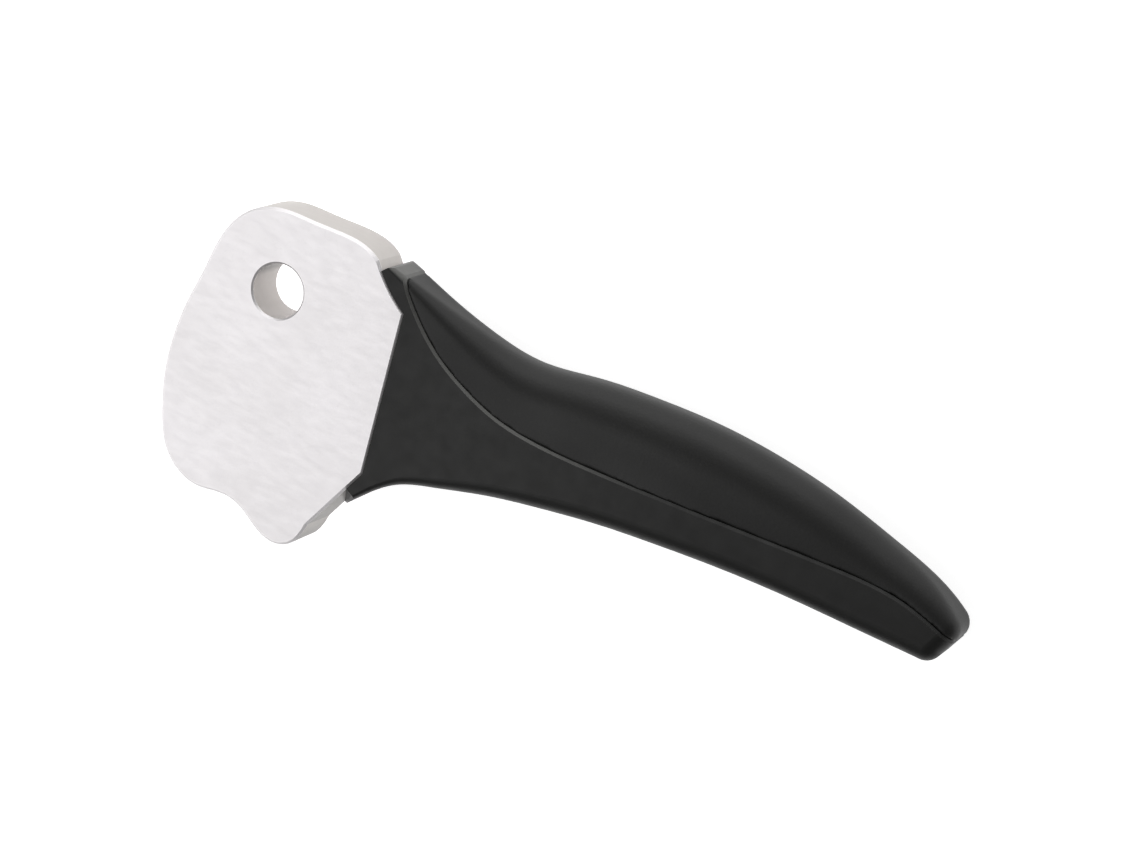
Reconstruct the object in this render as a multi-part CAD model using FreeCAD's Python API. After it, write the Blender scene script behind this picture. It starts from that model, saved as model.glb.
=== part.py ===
import FreeCAD, Part
import math
import os

# Lever-type can opener: a thick metal rocker head with a hang hole, and a moulded handle that
# is clamped around the head's tang.
#
# Everything is drawn about the hang hole: X runs from the hole towards the handle's tail, Y runs
# across the head, and Z = 0 is the middle of the thickness. At the end the whole tool is moved
# so that its origin is under the middle of its bounding box, as it lies on its rear face.
# All lengths are in millimetres.

V = FreeCAD.Vector

# Rocker head
head_thickness = 11.0
hang_hole_radius = 5.5
edge_chamfer = 0.5
hole_chamfer = 0.35

# Tang, the tongue of the head that reaches into the handle
tang_thickness = 3.6
tang_end_top = (92.0, 7.6)
tang_tip = (96.0, 3.6)
tang_end_bottom = (92.0, -0.4)
tang_corners = [(52.0, 4.4), (24.0, 3.0), (26.0, -19.0), (46.0, -8.4)]

# Handle
cover_thickness = 1.7
cover_recess = 0.35
rail_bevel = 0.5
tail_edge_radius = 3.4

# Reach of a Bezier handle that makes a quarter round
quarter_round = 0.5523

# Thinnest flat that the crown leaves at the top of a section, on each side of the mid-plane,
# and the least height or radius of a rounding in the hard core
crest_flat = 0.4
least_rounding = 0.5

# Cutting solids reach this far past the tool, and two points this close are the same
clearance_depth = 20.0
clearance_far = 40.0
same_place = 1e-3

# Screws, in from the rear, and their inserts in the front shell. screw_seat is the level that
# the heads bear on.
screw_seat = -3.4
screw_radius = 1.5
screw_length = 8.0
screw_tip_chamfer = 0.4
screw_head_radius = 2.6
screw_head_height = 1.5
screw_head_round = 0.7
screw_bore_radius = 2.75
drive_length = 2.6
drive_width = 0.6
drive_depth = 0.8
tang_hole_radius = 1.7
insert_radius = 2.1
insert_length = 2.6
insert_start = 2.1
insert_groove = 0.25
insert_groove_places = [0.3, 0.7]
screw_places = {"collar": (50.0, 1.2), "middle": (88.0, 3.6), "tail": (121.0, 3.0)}

# Corners of the head's outline beside the handle. The upper joint edge bows towards the head
# through its middle point.
head_joint_top = (17.6, 14.6)
head_joint_middle = (21.3, 10.7)
head_joint_corner = (26.3, 7.05)
head_joint_bottom = (29.55, -26.2)
toe_start = (22.2, -41.1)

# The smooth curve between them: toe, shallow notch, rocking edge, lobe round the hole, top edge
rocker_points = [
    (21.7, -43.3), (20.4, -45.9), (17.8, -47.6), (14.2, -47.6), (10.9, -46.1), (7.9, -44.4),
    (4.3, -43.4), (0.9, -43.7), (-2.8, -44.3), (-7.8, -43.1), (-11.9, -39.8), (-15.1, -33.5),
    (-17.3, -25.8), (-18.1, -17.0), (-17.6, -9.6), (-16.5, -3.0), (-15.8, 2.7), (-14.4, 7.8),
    (-11.2, 12.5), (-5.8, 15.4), (2.6, 16.1), (10.2, 16.5), (14.2, 16.1), (16.0, 15.5),
]

# The collar's rounded upper corner: a straight start beside the head, then an arc
collar_start = (18.1, 12.03)
collar_arc = [(19.6, 13.65), (20.25, 14.2), (21.1, 14.45)]
collar_end = (24.0, 15.2)

# How far the collar's lower lip reaches along the head's edge, at the front and at the rear
lip_reach_front = 4.8
lip_reach_rear = 12.2

# Handle sections, one row per station along X: top edge, bottom edge, half thickness,
# height of the rounded crown, radius of the rounded heel
handle_stations = [
    (15.0, 16.0, -47.6, 5.5, 0.9, 1.2),
    (20.0, 14.7, -42.3, 5.5, 0.9, 1.2),
    (25.0, 13.5, -36.9, 5.5, 1.6, 1.2),
    (30.0, 12.2, -31.4, 5.6, 2.6, 1.4),
    (36.0, 10.8, -25.9, 5.9, 3.8, 1.9),
    (44.0, 9.3, -22.6, 6.5, 5.2, 2.6),
    (54.0, 8.6, -19.4, 7.2, 6.6, 3.2),
    (66.0, 10.6, -16.5, 7.8, 7.8, 3.6),
    (78.0, 12.0, -14.2, 8.1, 8.6, 3.8),
    (90.0, 12.7, -12.6, 8.2, 8.8, 3.8),
    (104.0, 12.2, -11.25, 8.0, 8.6, 3.8),
    (118.0, 10.3, -10.5, 7.6, 7.8, 3.6),
    (132.0, 7.0, -10.3, 7.1, 6.4, 3.4),
    (145.0, 2.25, -10.15, 6.6, 4.2, 3.2),
    (151.0, -1.9, -10.1, 6.3, 2.6, 2.8),
    (155.0, -5.4, -10.1, 6.1, 1.5, 2.2),
]

# The tail is cut off along this leaning line
tail_cut_top = (152.1, 0.3)
tail_cut_bottom = (147.9, -8.9)

# The line on each side of the handle where the soft cover meets the hard rail
crease_points = [
    (23.2, 17.8), (23.6, 14.6), (25.4, 11.6), (28.6, 8.15), (32.3, 4.95), (37.3, 1.7),
    (44.3, -1.3), (51.0, -3.25), (58.0, -4.1), (68.0, -4.1), (82.0, -3.3), (96.0, -2.3),
    (110.0, -1.3), (124.0, -0.4), (138.0, -0.6), (146.0, -2.6), (158.0, -8.0),
]


def at(point, z=0.0):
    """A plan point at height z."""
    return V(point[0], point[1], z)


def line(start, end):
    return Part.LineSegment(start, end).toShape()


def arc(start, middle, end):
    """A circular arc through three plan points."""
    return Part.Arc(at(start), at(middle), at(end)).toShape()


def spline(points):
    """A smooth curve through the plan points."""
    curve = Part.BSplineCurve()
    curve.interpolate([at(point) for point in points])
    return curve.toShape()


def rounded(start, elbow, end):
    """A quarter round from start to end, tangent to both legs of the elbow."""
    curve = Part.BezierCurve()
    curve.setPoles([
        start,
        start + (elbow - start) * quarter_round,
        end + (elbow - end) * quarter_round,
        end,
    ])
    return curve.toShape()


def prism(edges, bottom, height):
    """The closed plan outline of the edges, standing from bottom up by height."""
    face = Part.Face(Part.Wire(edges))
    face.translate(V(0, 0, bottom))
    return face.extrude(V(0, 0, height))


def head_outline():
    """Plan edges of the rocker head: two joint edges, the toe's flank, and one smooth curve
    round the toe, the rocking edge and the top."""
    corner = at(head_joint_corner)
    joint_bottom = at(head_joint_bottom)
    toe = at(toe_start)
    return [
        arc(head_joint_top, head_joint_middle, head_joint_corner),
        line(corner, joint_bottom),
        line(joint_bottom, toe),
        spline([toe_start] + rocker_points + [head_joint_top]),
    ]


def head_blank():
    return prism(head_outline(), -head_thickness / 2, head_thickness)


def tang():
    """Tongue of the head, tapering from the head's edge to a round end past the second screw."""
    edges = polygon([tang_end_top] + tang_corners + [tang_end_bottom])[1:]
    edges.append(arc(tang_end_bottom, tang_tip, tang_end_top))
    return prism(edges, -tang_thickness / 2, tang_thickness)


def upright_cylinder(place, radius, bottom, top):
    return Part.makeCylinder(radius, top - bottom, at(place, bottom), V(0, 0, 1))


def outline_edges(solid, level):
    """Edges of the solid that lie wholly in the plane Z = level."""
    found = []
    for edge in solid.Edges:
        box = edge.BoundBox
        if abs(box.ZMin - level) < same_place and abs(box.ZMax - level) < same_place:
            found.append(edge)
    return found


def rocker_head():
    """Thick plate with broken edges, a countersunk hang hole and the tang."""
    blank = head_blank()
    half = head_thickness / 2
    plate = blank.makeChamfer(edge_chamfer, outline_edges(blank, half) + outline_edges(blank, -half))
    plate = plate.cut(upright_cylinder((0, 0), hang_hole_radius, -half, half))
    for face, inward in ((half, -1), (-half, 1)):
        rim = Part.makeCone(
            hang_hole_radius + hole_chamfer, hang_hole_radius, hole_chamfer,
            V(0, 0, face), V(0, 0, inward))
        plate = plate.cut(rim)
    tongue = tang()
    for name in ("collar", "middle"):
        tongue = tongue.cut(upright_cylinder(screw_places[name], tang_hole_radius, -half, half))
    return plate.fuse(tongue).removeSplitter()


def handle_section(x, top, bottom, half, crown, heel, shrink=0.0, thin=0.0):
    """Closed section of the handle at x. shrink moves it in all round, thin only front and rear."""
    top = top - shrink
    bottom = bottom + shrink
    half = half - shrink - thin
    crown = max(crown - shrink, least_rounding)
    heel = max(heel - shrink, least_rounding)
    crown_depth = min(crown, half - crest_flat)

    def p(y, z):
        return V(x, y, z)

    return Part.Wire([
        line(p(bottom, -half + heel), p(bottom, half - heel)),
        rounded(p(bottom, half - heel), p(bottom, half), p(bottom + heel, half)),
        line(p(bottom + heel, half), p(top - crown, half)),
        rounded(p(top - crown, half), p(top, half), p(top, half - crown_depth)),
        line(p(top, half - crown_depth), p(top, -half + crown_depth)),
        rounded(p(top, -half + crown_depth), p(top, -half), p(top - crown, -half)),
        line(p(top - crown, -half), p(bottom + heel, -half)),
        rounded(p(bottom + heel, -half), p(bottom, -half), p(bottom, -half + heel)),
    ])


def handle_body(shrink=0.0, thin=0.0):
    """The handle's whole form, before it is cut to the head and at the tail."""
    wires = [handle_section(*station, shrink=shrink, thin=thin) for station in handle_stations]
    return Part.makeLoft(wires, True, False)


def tail_limit(inset=0.0):
    """Space that the handle keeps, up to the leaning tail cut."""
    lean = (at(tail_cut_top) - at(tail_cut_bottom)).normalize()
    outward = V(lean.y, -lean.x, 0)
    top = at(tail_cut_top) - outward * inset + lean * clearance_far
    bottom = at(tail_cut_bottom) - outward * inset - lean * 2 * clearance_far
    edges = [
        line(bottom, top),
        line(top, V(0, top.y, 0)),
        line(V(0, top.y, 0), V(0, bottom.y, 0)),
        line(V(0, bottom.y, 0), bottom),
    ]
    return prism(edges, -clearance_depth, 2 * clearance_depth)


def polygon(points):
    """Straight plan edges round the points."""
    corners = [at(point) for point in points]
    return [line(corners[i - 1], corners[i]) for i in range(len(corners))]


def collar_clearance():
    """Everything that the collar leaves free: the head, the space above its corner, and the
    head's lower edge past the slanting end of the lip."""
    beside_head = prism(head_outline(), -clearance_depth, 2 * clearance_depth)
    outside = [
        V(collar_end[0], clearance_far, 0),
        V(0, clearance_far, 0),
        V(0, collar_start[1], 0),
    ]
    above_corner = prism([
        line(at(collar_start), at(collar_arc[0])),
        arc(*collar_arc),
        line(at(collar_arc[-1]), at(collar_end)),
        line(at(collar_end), outside[0]),
        line(outside[0], outside[1]),
        line(outside[1], outside[2]),
        line(outside[2], at(collar_start)),
    ], -clearance_depth, 2 * clearance_depth)
    root = at(head_joint_bottom)
    along = (at(toe_start) - root).normalize()
    outward = V(-along.y, along.x, 0)
    slope = (lip_reach_rear - lip_reach_front) / head_thickness
    reach = (lip_reach_front + lip_reach_rear) / 2
    start = root - outward * 2
    corners = [
        start + along * (reach - slope * clearance_depth) + V(0, 0, clearance_depth),
        start + along * (reach + slope * clearance_depth) + V(0, 0, -clearance_depth),
        start + along * clearance_far + V(0, 0, -clearance_depth),
        start + along * clearance_far + V(0, 0, clearance_depth),
    ]
    edges = [line(corners[i - 1], corners[i]) for i in range(4)]
    past_lip = Part.Face(Part.Wire(edges)).extrude(outward * clearance_depth)
    return [beside_head, above_corner, past_lip]


def cover_region():
    """Everything on the cover's side of the crease line."""
    first = at(crease_points[0])
    last = at(crease_points[-1])
    edges = [
        spline(crease_points),
        line(last, V(last.x, clearance_far, 0)),
        line(V(last.x, clearance_far, 0), V(first.x, clearance_far, 0)),
        line(V(first.x, clearance_far, 0), first),
    ]
    return prism(edges, -clearance_depth, 2 * clearance_depth)


def cut_all(solid, tools):
    for tool in tools:
        solid = solid.cut(tool)
    return solid


def sample_points(edge):
    middle = (edge.FirstParameter + edge.LastParameter) / 2
    return [edge.valueAt(edge.FirstParameter), edge.valueAt(middle), edge.valueAt(edge.LastParameter)]


def handle_form(thin=0.0):
    """The handle's outer form with its tail cut off and rounded."""
    form = handle_body(thin=thin).common(tail_limit())
    lean = (at(tail_cut_top) - at(tail_cut_bottom)).normalize()
    outward = V(lean.y, -lean.x, 0)
    end_edges = []
    for edge in form.Edges:
        if all(abs((p - at(tail_cut_top)).dot(outward)) < same_place for p in sample_points(edge)):
            end_edges.append(edge)
    return form.makeFillet(tail_edge_radius, end_edges)


def rail_and_collar():
    """The hard part of the handle's surface, bevelled along the crease."""
    rail = cut_all(handle_form(), collar_clearance() + [cover_region()])
    crease = spline(crease_points)
    crease_edges = []
    for edge in rail.Edges:
        points = sample_points(edge)
        gaps = [crease.distToShape(Part.Vertex(p.x, p.y, 0))[0] for p in points]
        runs_along = math.hypot(points[0].x - points[2].x, points[0].y - points[2].y) > 1.0
        if max(gaps) < same_place and runs_along:
            crease_edges.append(edge)
    return rail.makeChamfer(rail_bevel, crease_edges)


def handle_core():
    """The hard part under the cover."""
    core = handle_body(shrink=cover_thickness).common(tail_limit(cover_thickness))
    return cut_all(core, collar_clearance())


def handle_shells(core):
    """Front and rear shell, which meet in the middle and clamp the tang between them."""
    whole = rail_and_collar().fuse(core).cut(tang())
    whole = whole.removeSplitter()
    length = whole.BoundBox.XMax + clearance_far
    width = 2 * length
    front_space = Part.makeBox(length, width, clearance_depth, V(0, -length, 0))
    rear_space = Part.makeBox(length, width, clearance_depth, V(0, -length, -clearance_depth))
    front = whole.common(front_space)
    rear = whole.common(rear_space)
    insert_end = insert_start + insert_length
    for place in screw_places.values():
        front = front.cut(upright_cylinder(place, tang_hole_radius, 0, insert_start))
        front = front.cut(upright_cylinder(place, insert_radius, insert_start, insert_end))
        rear = rear.cut(upright_cylinder(place, tang_hole_radius, screw_seat, 0))
        rear = rear.cut(upright_cylinder(place, screw_bore_radius, -clearance_depth, screw_seat))
    return front, rear


def grip_cover(core):
    """Soft cover, C-shaped in section, over the crown of the handle."""
    cover = cut_all(handle_form(thin=cover_recess), collar_clearance())
    return cover.common(cover_region()).cut(core)


def shell_screw(place):
    """Pan head screw with a cross recess, its head towards the rear."""
    head_outside = screw_seat - screw_head_height
    head = upright_cylinder(place, screw_head_radius, head_outside, screw_seat)
    rim = outline_edges(head, head_outside)
    head = head.makeFillet(screw_head_round, rim)
    for length, width in ((drive_length, drive_width), (drive_width, drive_length)):
        slot = Part.makeBox(length, width, drive_depth)
        slot.translate(at(place, head_outside) - V(length / 2, width / 2, 0))
        head = head.cut(slot)
    tip = screw_seat + screw_length
    shank = upright_cylinder(place, screw_radius, screw_seat, tip)
    shank = shank.makeChamfer(screw_tip_chamfer, outline_edges(shank, tip))
    return head.fuse(shank).removeSplitter()


def thread_insert(place):
    """Brass bush with two grip grooves, pressed into the front shell."""
    insert_end = insert_start + insert_length
    bush = upright_cylinder(place, insert_radius, insert_start, insert_end)
    for share in insert_groove_places:
        middle = insert_start + insert_length * share
        low, high = middle - insert_groove, middle + insert_groove
        ring = upright_cylinder(place, insert_radius + insert_groove, low, high)
        bush = bush.cut(ring.cut(upright_cylinder(place, insert_radius - insert_groove, low, high)))
    return bush.cut(upright_cylinder(place, screw_radius, insert_start, insert_end))


def make_parts():
    core = handle_core()
    front, rear = handle_shells(core)
    parts = {
        "rocker_head": rocker_head(),
        "handle_shell_front": front,
        "handle_shell_rear": rear,
        "grip_cover": grip_cover(core),
    }
    for name, place in screw_places.items():
        parts["shell_screw_" + name] = shell_screw(place)
        parts["thread_insert_" + name] = thread_insert(place)
    return parts


def settle_on_origin(parts):
    """Move the tool so that the origin is under the middle of its bounding box."""
    box = FreeCAD.BoundBox()
    for shape in parts.values():
        box.add(shape.optimalBoundingBox(False))
    shift = V(-box.Center.x, -box.Center.y, -box.ZMin)
    for shape in parts.values():
        shape.translate(shift)
    return shift


parts = make_parts()
shift = settle_on_origin(parts)
rear_face = shift.z - head_thickness / 2
print("hang hole axis at", round(shift.x, 4), round(shift.y, 4))
print("head rear face at", round(rear_face, 4), "and front face", round(rear_face + head_thickness, 4))
os.makedirs("parts", exist_ok=True)
for name, shape in parts.items():
    print(name, shape.isValid(), len(shape.Solids), round(shape.Volume, 1))
    shape.exportStep("parts/" + name + ".step")
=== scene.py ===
import math

import bpy
from mathutils import Matrix, Vector


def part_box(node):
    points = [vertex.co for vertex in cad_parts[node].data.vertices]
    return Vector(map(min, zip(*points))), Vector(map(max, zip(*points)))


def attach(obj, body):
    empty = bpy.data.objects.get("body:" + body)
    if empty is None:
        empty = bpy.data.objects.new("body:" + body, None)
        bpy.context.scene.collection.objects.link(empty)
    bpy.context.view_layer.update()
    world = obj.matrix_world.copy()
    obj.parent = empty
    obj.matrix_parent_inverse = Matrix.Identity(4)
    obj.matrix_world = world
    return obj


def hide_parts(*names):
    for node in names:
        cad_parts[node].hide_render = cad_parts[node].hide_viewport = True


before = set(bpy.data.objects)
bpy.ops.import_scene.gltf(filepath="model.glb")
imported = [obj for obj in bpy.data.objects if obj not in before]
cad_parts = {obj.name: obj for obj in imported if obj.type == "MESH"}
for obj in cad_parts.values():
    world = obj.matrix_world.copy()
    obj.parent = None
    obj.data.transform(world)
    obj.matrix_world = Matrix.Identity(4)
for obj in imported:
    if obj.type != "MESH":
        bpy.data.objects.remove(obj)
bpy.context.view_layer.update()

# Camera: bearing from +X, height above the floor and roll about its own axis, in degrees
CAMERA_BEARING = 47.226
CAMERA_HEIGHT = 65.926
CAMERA_ROLL = -113.821

# Metres
CAMERA_DISTANCE = 0.7322
CAMERA_AIM = Vector((-0.001831, 0.0150395, 0.0082012))
FLOOR_SIZE = 6.0
FLOOR_DROP = 0.0002
COVER_WELD = 0.000001
COVER_VOXEL = 0.00038
COVER_INSET = 0.00004

# Millimetres
CAMERA_LENS = 120.0
CAMERA_SENSOR = 36.0

# Passes that soften the cover's lips
COVER_SMOOTHING = 4

WHITE = (1.0, 1.0, 1.0, 1.0)
FLOOR_COLOUR = (0.9, 0.9, 0.9, 1.0)
FLOOR_ROUGHNESS = 0.9
FLOOR_GLOW = 0.75
SKY_STRENGTH = 0.22
LIGHT_TARGET = Vector((0.0, 0.0, 0.01))

# Softboxes: direction from the tool, distance and size in metres, power in watts
SOFTBOXES = {
    "softbox_top": ((-0.8, -0.4, 1.0), 1.4, (1.2, 1.8), 9.5),
    "softbox_sky": ((-0.25, 0.8, 0.55), 1.2, (1.3, 0.8), 2.6),
    "softbox_crest": ((-0.15, 1.0, 0.22), 0.9, (1.2, 0.35), 2.4),
}

# Head: bead-blasted cast metal
METAL_DARK = (0.86, 0.835, 0.845, 1.0)
METAL_LIGHT = (0.90, 0.875, 0.89, 1.0)
# Painted shade: colour of the head's side walls, darker than the face
METAL_WALL_SHADE = (0.505, 0.48, 0.46, 1.0)
# Painted shade: darker colour of the side walls on the toe's side
METAL_TOE_SHADE = (0.31, 0.30, 0.29, 1.0)
METAL_SPECK = (0.82, 0.80, 0.81, 1.0)
# Painted highlight along the corners and chamfers, also edge wear
METAL_HIGHLIGHT_AND_WEAR = (0.90, 0.88, 0.89, 1.0)
METAL_SHARE = 0.7

# Hard shells: moulded black nylon. The up-facing lip of the crease is painted pale as a highlight from the
# collar to the start point below and fades out by the end point, in metres along X.
NYLON_DARK = (0.0075, 0.0075, 0.007, 1.0)
NYLON_LIGHT = (0.0105, 0.0105, 0.010, 1.0)
NYLON_WORN = (0.022, 0.022, 0.021, 1.0)
# Painted highlight on the up-facing lip of the crease
NYLON_LIP_HIGHLIGHT = (0.11, 0.11, 0.105, 1.0)
NYLON_SPECULAR = 0.28
LIP_HIGHLIGHT_START = -0.008
LIP_HIGHLIGHT_END = 0.022

# Soft cover: black elastomer
GRIP_DARK = (0.0035, 0.0035, 0.0032, 1.0)
GRIP_LIGHT = (0.0055, 0.0055, 0.005, 1.0)
GRIP_DUST = (0.012, 0.012, 0.0115, 1.0)
GRIP_SPECULAR = 0.38
GRIP_SHEEN = 0.06
GRIP_SHEEN_ROUGHNESS = 0.3
GRIP_PEBBLES_PER_METRE = 1700.0

# Screws and inserts
STEEL_DARK = (0.42, 0.42, 0.43, 1.0)
STEEL_LIGHT = (0.55, 0.55, 0.56, 1.0)
STEEL_ROUGHNESS = (0.24, 0.38)
BRASS_DARK = (0.55, 0.38, 0.15, 1.0)
BRASS_LIGHT = (0.70, 0.50, 0.22, 1.0)
BRASS_ROUGHNESS = (0.26, 0.40)
TURNED_BRIGHTER = 1.15

# Middle part of a noise's 0..1 range, where nearly all of it lies
NOISE_MIDDLE = (0.3, 0.7)

# A part of the surface normal, from where a tone starts to where it is full: painted shade on the head's
# side walls by the normal's height, darker painted shade on their toe side and a painted highlight on the
# lip of the crease by its Y part
WALL_SHADE_NORMAL = (0.75, 0.35)
TOE_SHADE_NORMAL = (-0.1, -0.4)
LIP_HIGHLIGHT_NORMAL = (0.2, 0.6)

# Noise from low..high to a share from low..high
SPECKS = (0.56, 0.70, 0.0, 0.35)
DUST = (0.60, 0.74, 0.0, 0.4)
WEAR_PATCHES = (0.25, 0.6, 0.55, 1.0)
PALM_PATCHES = (0.35, 0.65)

# Turn of a corner, as one minus a cosine, that counts as fully worn (on the head also fully painted as
# highlight), and how much wear shows
WEAR_FULL = 0.12
NYLON_WEAR_FULL = 0.2
NYLON_WEAR_SHARE = 0.3
METAL_WEAR_GLOSS = 0.12

METAL_ROUGHNESS = (0.46, 0.52)
NYLON_ROUGHNESS = (0.40, 0.50)
GRIP_ROUGHNESS = (0.56, 0.46)
BEVEL_SAMPLES = 8

# Feature sizes in metres: broad cloud, grain, fine grain, specks and drawn lines of each finish
METAL_CLOUD_SIZE = 0.018
METAL_SPECK_SIZE = 0.0007
METAL_GRAIN_SIZE = 0.00035
METAL_DRAWN_SIZE = 0.0012
METAL_GRAIN_DEPTH = 0.000006
METAL_HIGHLIGHT_AND_WEAR_WIDTH = 0.0005
NYLON_FLOW_SIZE = 0.006
NYLON_GRAIN_SIZE = 0.0005
NYLON_GLOSS_SIZE = 0.003
NYLON_GRAIN_DEPTH = 0.000012
NYLON_WEAR_WIDTH = 0.0006
GRIP_PALM_SIZE = 0.02
GRIP_DUST_SIZE = 0.0009
GRIP_PEBBLE_SIZE = 0.0012
GRIP_GRAIN_DEPTH = 0.00002
TURNED_RING_SIZE = 0.0004
TURNED_WEAR_WIDTH = 0.0002
TURNED_GRAIN_DEPTH = 0.000006
WEAR_PATCH_SIZE = 0.004

# Stretch of the noise along X, Y and Z
EVEN = (1.0, 1.0, 1.0)
DRAWN_ALONG_X = (0.35, 1.0, 1.0)
FLOW_ALONG_X = (0.18, 1.0, 1.0)
PALM_ALONG_X = (0.5, 1.0, 1.0)
RINGS_ALONG_Z = (1.0, 1.0, 4.0)


def set_or_link(tree, socket, value):
    """Links the value to the socket if it is a socket itself, or sets it."""
    if isinstance(value, bpy.types.NodeSocket):
        tree.links.new(value, socket)
    else:
        socket.default_value = value


def add_node(tree, kind, **inputs):
    """A shader node with some of its inputs set. An input is a socket to link, or a value."""
    node = tree.nodes.new(kind)
    for name, value in inputs.items():
        set_or_link(tree, node.inputs[name.replace("_", " ")], value)
    return node


def new_material(name):
    """A material with one principled shader: (material, tree, shader)."""
    material = bpy.data.materials.new(name)
    material.use_nodes = True
    tree = material.node_tree
    tree.nodes.clear()
    output = tree.nodes.new("ShaderNodeOutputMaterial")
    shader = tree.nodes.new("ShaderNodeBsdfPrincipled")
    tree.links.new(shader.outputs["BSDF"], output.inputs["Surface"])
    return material, tree, shader


def place(tree, stretch=EVEN):
    """Object coordinates in metres, stretched along each axis."""
    coordinates = tree.nodes.new("ShaderNodeTexCoord").outputs["Object"]
    return add_node(tree, "ShaderNodeMapping", Vector=coordinates, Scale=stretch).outputs["Vector"]


def noise(tree, size, detail=3.0, stretch=EVEN):
    """Noise from 0 to 1 with features about this many metres across."""
    spot = place(tree, stretch)
    return add_node(tree, "ShaderNodeTexNoise", Vector=spot, Scale=1.0 / size, Detail=detail).outputs["Fac"]


def spread(tree, value, low, high, at_low=0.0, at_high=1.0):
    """value from low..high to at_low..at_high, held at the ends."""
    node = add_node(tree, "ShaderNodeMapRange", Value=value)
    node.clamp = True
    ends = {"From Min": low, "From Max": high, "To Min": at_low, "To Max": at_high}
    for name, number in ends.items():
        node.inputs[name].default_value = number
    return node.outputs["Result"]


def spread_noise(tree, value, at_low=0.0, at_high=1.0):
    """The middle of a noise's range to at_low..at_high."""
    return spread(tree, value, *NOISE_MIDDLE, at_low, at_high)


def blend_colours(tree, share, first, second):
    """From the first colour to the second as share goes from 0 to 1."""
    node = tree.nodes.new("ShaderNodeMix")
    node.data_type = "RGBA"
    sockets = {"Factor_Float": share, "A_Color": first, "B_Color": second}
    for name, value in sockets.items():
        set_or_link(tree, next(s for s in node.inputs if s.identifier == name), value)
    return next(s for s in node.outputs if s.identifier == "Result_Color")


def combine(tree, operation, first, second=0.0):
    """The result of a math operation, held to 0..1."""
    node = tree.nodes.new("ShaderNodeMath")
    node.operation = operation
    node.use_clamp = True
    for socket, value in zip(node.inputs, (first, second)):
        set_or_link(tree, socket, value)
    return node.outputs["Value"]


def edge_mask(tree, radius, full=WEAR_FULL):
    """1 along corners within this radius, 0 on flats, broken up like handling wear."""
    bevel = add_node(tree, "ShaderNodeBevel", Radius=radius)
    bevel.samples = BEVEL_SAMPLES
    geometry = tree.nodes.new("ShaderNodeNewGeometry")
    dot = tree.nodes.new("ShaderNodeVectorMath")
    dot.operation = "DOT_PRODUCT"
    tree.links.new(bevel.outputs["Normal"], dot.inputs[0])
    tree.links.new(geometry.outputs["Normal"], dot.inputs[1])
    corner = spread(tree, dot.outputs["Value"], 1.0, 1.0 - full)
    patches = spread(tree, noise(tree, WEAR_PATCH_SIZE), *WEAR_PATCHES)
    return combine(tree, "MULTIPLY", corner, patches)


def normal_part(tree, axis):
    """One part of the surface normal in the object's own axes."""
    coordinates = tree.nodes.new("ShaderNodeTexCoord")
    parts = add_node(tree, "ShaderNodeSeparateXYZ", Vector=coordinates.outputs["Normal"])
    return parts.outputs[axis]


def grain_normal(tree, height, depth):
    """Bump from a 0..1 height that stands for this depth in metres."""
    return add_node(tree, "ShaderNodeBump", Height=height, Distance=depth, Strength=1.0).outputs["Normal"]


def metal_material():
    """Bead-blasted cast metal: fine grain, a soft cloudy tone, side walls painted darker as shade and
    darker still on the toe's side, and corners painted brighter as a highlight and as wear, and smoother."""
    material, tree, shader = new_material("head_metal")
    cloud = spread_noise(tree, noise(tree, METAL_CLOUD_SIZE, 4.0))
    base = blend_colours(tree, cloud, METAL_DARK, METAL_LIGHT)
    specks = spread(tree, noise(tree, METAL_SPECK_SIZE, 5.0), *SPECKS)
    base = blend_colours(tree, specks, base, METAL_SPECK)
    # Painted shade on the side walls, by the normal's height
    wall_shade = spread(tree, combine(tree, "ABSOLUTE", normal_part(tree, "Z")), *WALL_SHADE_NORMAL)
    # Darker painted shade on the walls of the toe's side, by the normal's Y part
    toe_shade = spread(tree, normal_part(tree, "Y"), *TOE_SHADE_NORMAL)
    side = blend_colours(tree, toe_shade, METAL_WALL_SHADE, METAL_TOE_SHADE)
    base = blend_colours(tree, wall_shade, base, side)
    # Corners painted brighter: a painted highlight along the chamfers, also edge wear
    wear = edge_mask(tree, METAL_HIGHLIGHT_AND_WEAR_WIDTH)
    tree.links.new(blend_colours(tree, wear, base, METAL_HIGHLIGHT_AND_WEAR), shader.inputs["Base Color"])
    grain = noise(tree, METAL_GRAIN_SIZE)
    drawn = noise(tree, METAL_DRAWN_SIZE, 4.0, DRAWN_ALONG_X)
    rough = spread_noise(tree, drawn, *METAL_ROUGHNESS)
    rough = combine(tree, "SUBTRACT", rough, combine(tree, "MULTIPLY", wear, METAL_WEAR_GLOSS))
    tree.links.new(rough, shader.inputs["Roughness"])
    tree.links.new(grain_normal(tree, grain, METAL_GRAIN_DEPTH), shader.inputs["Normal"])
    shader.inputs["Metallic"].default_value = METAL_SHARE
    return material


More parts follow.
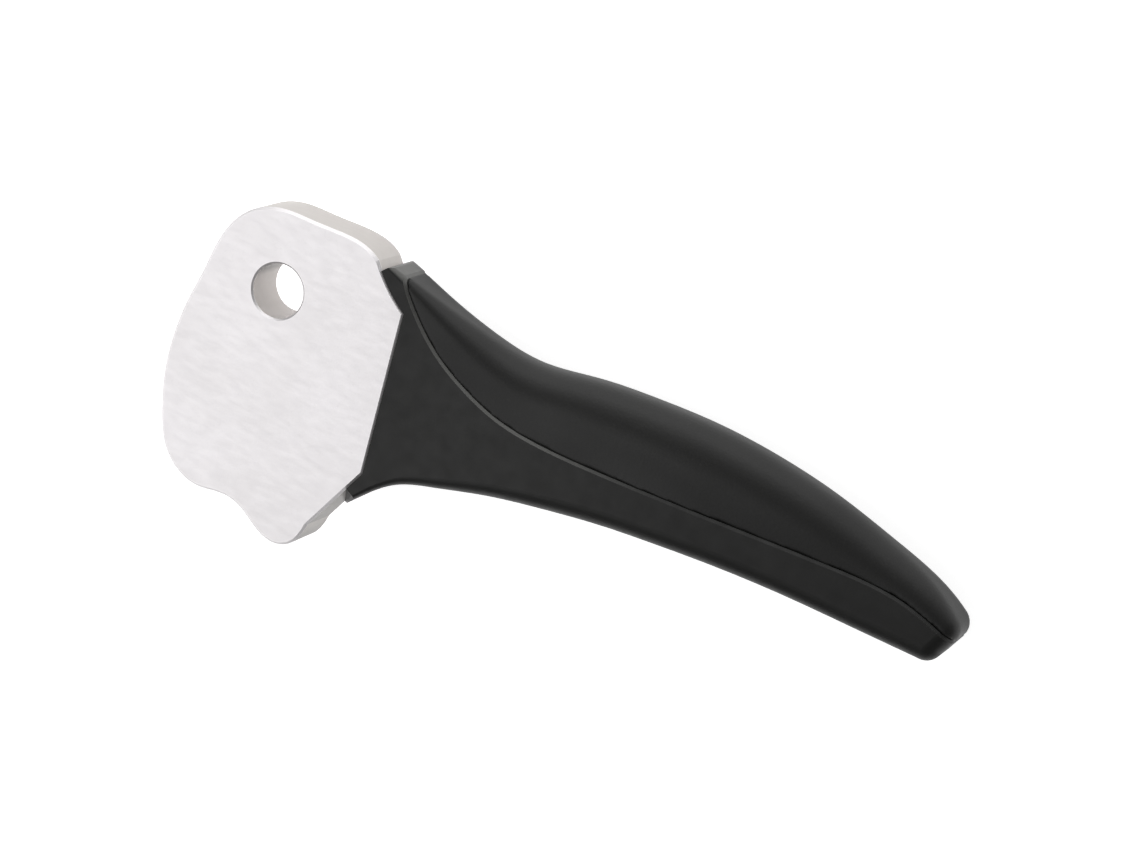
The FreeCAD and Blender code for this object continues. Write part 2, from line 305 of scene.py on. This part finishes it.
def nylon_material():
    """Moulded black nylon: spark-eroded grain, faint flow lines along the handle, greyer corners
    and a painted highlight on the up-facing lip of the crease near the collar."""
    material, tree, shader = new_material("handle_nylon")
    flow = spread_noise(tree, noise(tree, NYLON_FLOW_SIZE, 4.0, FLOW_ALONG_X))
    base = blend_colours(tree, flow, NYLON_DARK, NYLON_LIGHT)
    wear = edge_mask(tree, NYLON_WEAR_WIDTH, NYLON_WEAR_FULL)
    worn = combine(tree, "MULTIPLY", wear, NYLON_WEAR_SHARE)
    base = blend_colours(tree, worn, base, NYLON_WORN)
    # Painted highlight on the up-facing lip of the crease near the collar
    along = add_node(tree, "ShaderNodeSeparateXYZ", Vector=place(tree)).outputs["X"]
    lip_highlight = spread(tree, along, LIP_HIGHLIGHT_START, LIP_HIGHLIGHT_END, 1.0, 0.0)
    facing = spread(tree, normal_part(tree, "Y"), *LIP_HIGHLIGHT_NORMAL)
    lip_highlight = combine(tree, "MULTIPLY", lip_highlight, facing)
    tree.links.new(blend_colours(tree, lip_highlight, base, NYLON_LIP_HIGHLIGHT), shader.inputs["Base Color"])
    rough = spread_noise(tree, noise(tree, NYLON_GLOSS_SIZE), *NYLON_ROUGHNESS)
    tree.links.new(rough, shader.inputs["Roughness"])
    grain = noise(tree, NYLON_GRAIN_SIZE, 4.0)
    tree.links.new(grain_normal(tree, grain, NYLON_GRAIN_DEPTH), shader.inputs["Normal"])
    shader.inputs["Specular IOR Level"].default_value = NYLON_SPECULAR
    return material


def grip_material():
    """Soft-touch elastomer: matt, finely pebbled, slightly polished in patches by the palm."""
    material, tree, shader = new_material("soft_grip")
    palm = spread(tree, noise(tree, GRIP_PALM_SIZE, stretch=PALM_ALONG_X), *PALM_PATCHES)
    base = blend_colours(tree, palm, GRIP_DARK, GRIP_LIGHT)
    dust = spread(tree, noise(tree, GRIP_DUST_SIZE, 5.0), *DUST)
    tree.links.new(blend_colours(tree, dust, base, GRIP_DUST), shader.inputs["Base Color"])
    pebble = add_node(tree, "ShaderNodeTexVoronoi", Vector=place(tree), Scale=GRIP_PEBBLES_PER_METRE)
    height = combine(tree, "MULTIPLY", pebble.outputs["Distance"], noise(tree, GRIP_PEBBLE_SIZE, 2.0))
    tree.links.new(spread(tree, palm, 0.0, 1.0, *GRIP_ROUGHNESS), shader.inputs["Roughness"])
    tree.links.new(grain_normal(tree, height, GRIP_GRAIN_DEPTH), shader.inputs["Normal"])
    shader.inputs["Specular IOR Level"].default_value = GRIP_SPECULAR
    shader.inputs["Sheen Weight"].default_value = GRIP_SHEEN
    shader.inputs["Sheen Roughness"].default_value = GRIP_SHEEN_ROUGHNESS
    return material


def turned_metal(name, dark, light, roughness):
    """Small turned part: fine grain, packed closer along the axis, and corners worn brighter."""
    material, tree, shader = new_material(name)
    rings = spread_noise(tree, noise(tree, TURNED_RING_SIZE, stretch=RINGS_ALONG_Z))
    wear = edge_mask(tree, TURNED_WEAR_WIDTH)
    base = blend_colours(tree, rings, dark, light)
    bright = tuple(min(1.0, TURNED_BRIGHTER * v) for v in light)
    tree.links.new(blend_colours(tree, wear, base, bright), shader.inputs["Base Color"])
    tree.links.new(spread(tree, rings, 0.0, 1.0, *roughness), shader.inputs["Roughness"])
    tree.links.new(grain_normal(tree, rings, TURNED_GRAIN_DEPTH), shader.inputs["Normal"])
    shader.inputs["Metallic"].default_value = 1.0
    return material


def floor_material():
    """White sweep that glows a little, so that it stays white under the tool."""
    material, tree, shader = new_material("floor_white")
    shader.inputs["Base Color"].default_value = FLOOR_COLOUR
    shader.inputs["Roughness"].default_value = FLOOR_ROUGHNESS
    shader.inputs["Specular IOR Level"].default_value = 0.0
    shader.inputs["Emission Color"].default_value = WHITE
    shader.inputs["Emission Strength"].default_value = FLOOR_GLOW
    return material


def add_floor():
    bpy.ops.mesh.primitive_plane_add(size=FLOOR_SIZE, location=(0, 0, -FLOOR_DROP))
    floor = bpy.context.object
    floor.name = "floor"
    floor.data.materials.append(floor_material())


def area_light(name, direction, distance, size, power):
    """A rectangular softbox that faces the tool."""
    data = bpy.data.lights.new(name, "AREA")
    data.shape = "RECTANGLE"
    data.size, data.size_y = size
    data.energy = power
    lamp = bpy.data.objects.new(name, data)
    bpy.context.scene.collection.objects.link(lamp)
    direction = Vector(direction).normalized()
    lamp.location = LIGHT_TARGET + direction * distance
    lamp.rotation_mode = "QUATERNION"
    lamp.rotation_quaternion = direction.to_track_quat("Z", "Y")


def add_lights():
    world = bpy.data.worlds.new("studio")
    world.use_nodes = True
    background = world.node_tree.nodes["Background"]
    background.inputs["Color"].default_value = WHITE
    background.inputs["Strength"].default_value = SKY_STRENGTH
    bpy.context.scene.world = world
    for name, (direction, distance, size, power) in SOFTBOXES.items():
        area_light(name, direction, distance, size, power)


def add_camera():
    bearing, height, roll = (math.radians(v) for v in (CAMERA_BEARING, CAMERA_HEIGHT, CAMERA_ROLL))
    reach = math.cos(height)
    back = Vector((math.cos(bearing) * reach, math.sin(bearing) * reach, math.sin(height)))
    level = Vector((0, 0, 1)).cross(back).normalized()
    upright = back.cross(level)
    right = level * math.cos(roll) + upright * math.sin(roll)
    up = back.cross(right)
    spot = CAMERA_AIM + back * CAMERA_DISTANCE
    data = bpy.data.cameras.new("camera")
    data.lens = CAMERA_LENS
    data.sensor_width = CAMERA_SENSOR
    camera = bpy.data.objects.new("camera", data)
    bpy.context.scene.collection.objects.link(camera)
    camera.matrix_world = Matrix((
        (right.x, up.x, back.x, spot.x),
        (right.y, up.y, back.y, spot.y),
        (right.z, up.z, back.z, spot.z),
        (0, 0, 0, 1),
    ))
    bpy.context.scene.camera = camera


def apply_modifier(piece, kind, **settings):
    """Adds a modifier with these settings and makes its result the mesh."""
    modifier = piece.modifiers.new(kind.lower(), kind)
    for name, value in settings.items():
        setattr(modifier, name, value)
    bpy.context.view_layer.objects.active = piece
    bpy.ops.object.modifier_apply(modifier=modifier.name)


def soft_cover():
    """The elastomer cover, with the softened lips a moulded skin has."""
    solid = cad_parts["grip_cover"]
    piece = bpy.data.objects.new("soft_cover_skin", solid.data.copy())
    bpy.context.scene.collection.objects.link(piece)
    apply_modifier(piece, "WELD", merge_threshold=COVER_WELD)
    apply_modifier(piece, "REMESH", mode="VOXEL", voxel_size=COVER_VOXEL, adaptivity=0.0)
    apply_modifier(piece, "SMOOTH", factor=0.5, iterations=COVER_SMOOTHING)
    low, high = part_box("grip_cover")
    for vertex in piece.data.vertices:
        for axis in range(3):
            inner_low, inner_high = low[axis] + COVER_INSET, high[axis] - COVER_INSET
            vertex.co[axis] = min(max(vertex.co[axis], inner_low), inner_high)
    for polygon in piece.data.polygons:
        polygon.use_smooth = True
    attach(piece, "root")
    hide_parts("grip_cover")
    return piece


def paint(piece, material):
    piece.data.materials.clear()
    piece.data.materials.append(material)


add_camera()
add_floor()
add_lights()
bpy.context.scene.view_settings.view_transform = "Standard"

nylon = nylon_material()
steel = turned_metal("screw_steel", STEEL_DARK, STEEL_LIGHT, STEEL_ROUGHNESS)
brass = turned_metal("insert_brass", BRASS_DARK, BRASS_LIGHT, BRASS_ROUGHNESS)
finishes = {
    "rocker_head": metal_material(),
    "handle_shell_front": nylon,
    "handle_shell_rear": nylon,
}
for site in ("collar", "middle", "tail"):
    finishes["shell_screw_" + site] = steel
    finishes["thread_insert_" + site] = brass
for node, finish in finishes.items():
    paint(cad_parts[node], finish)
grip = grip_material()
paint(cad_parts["grip_cover"], grip)
paint(soft_cover(), grip)
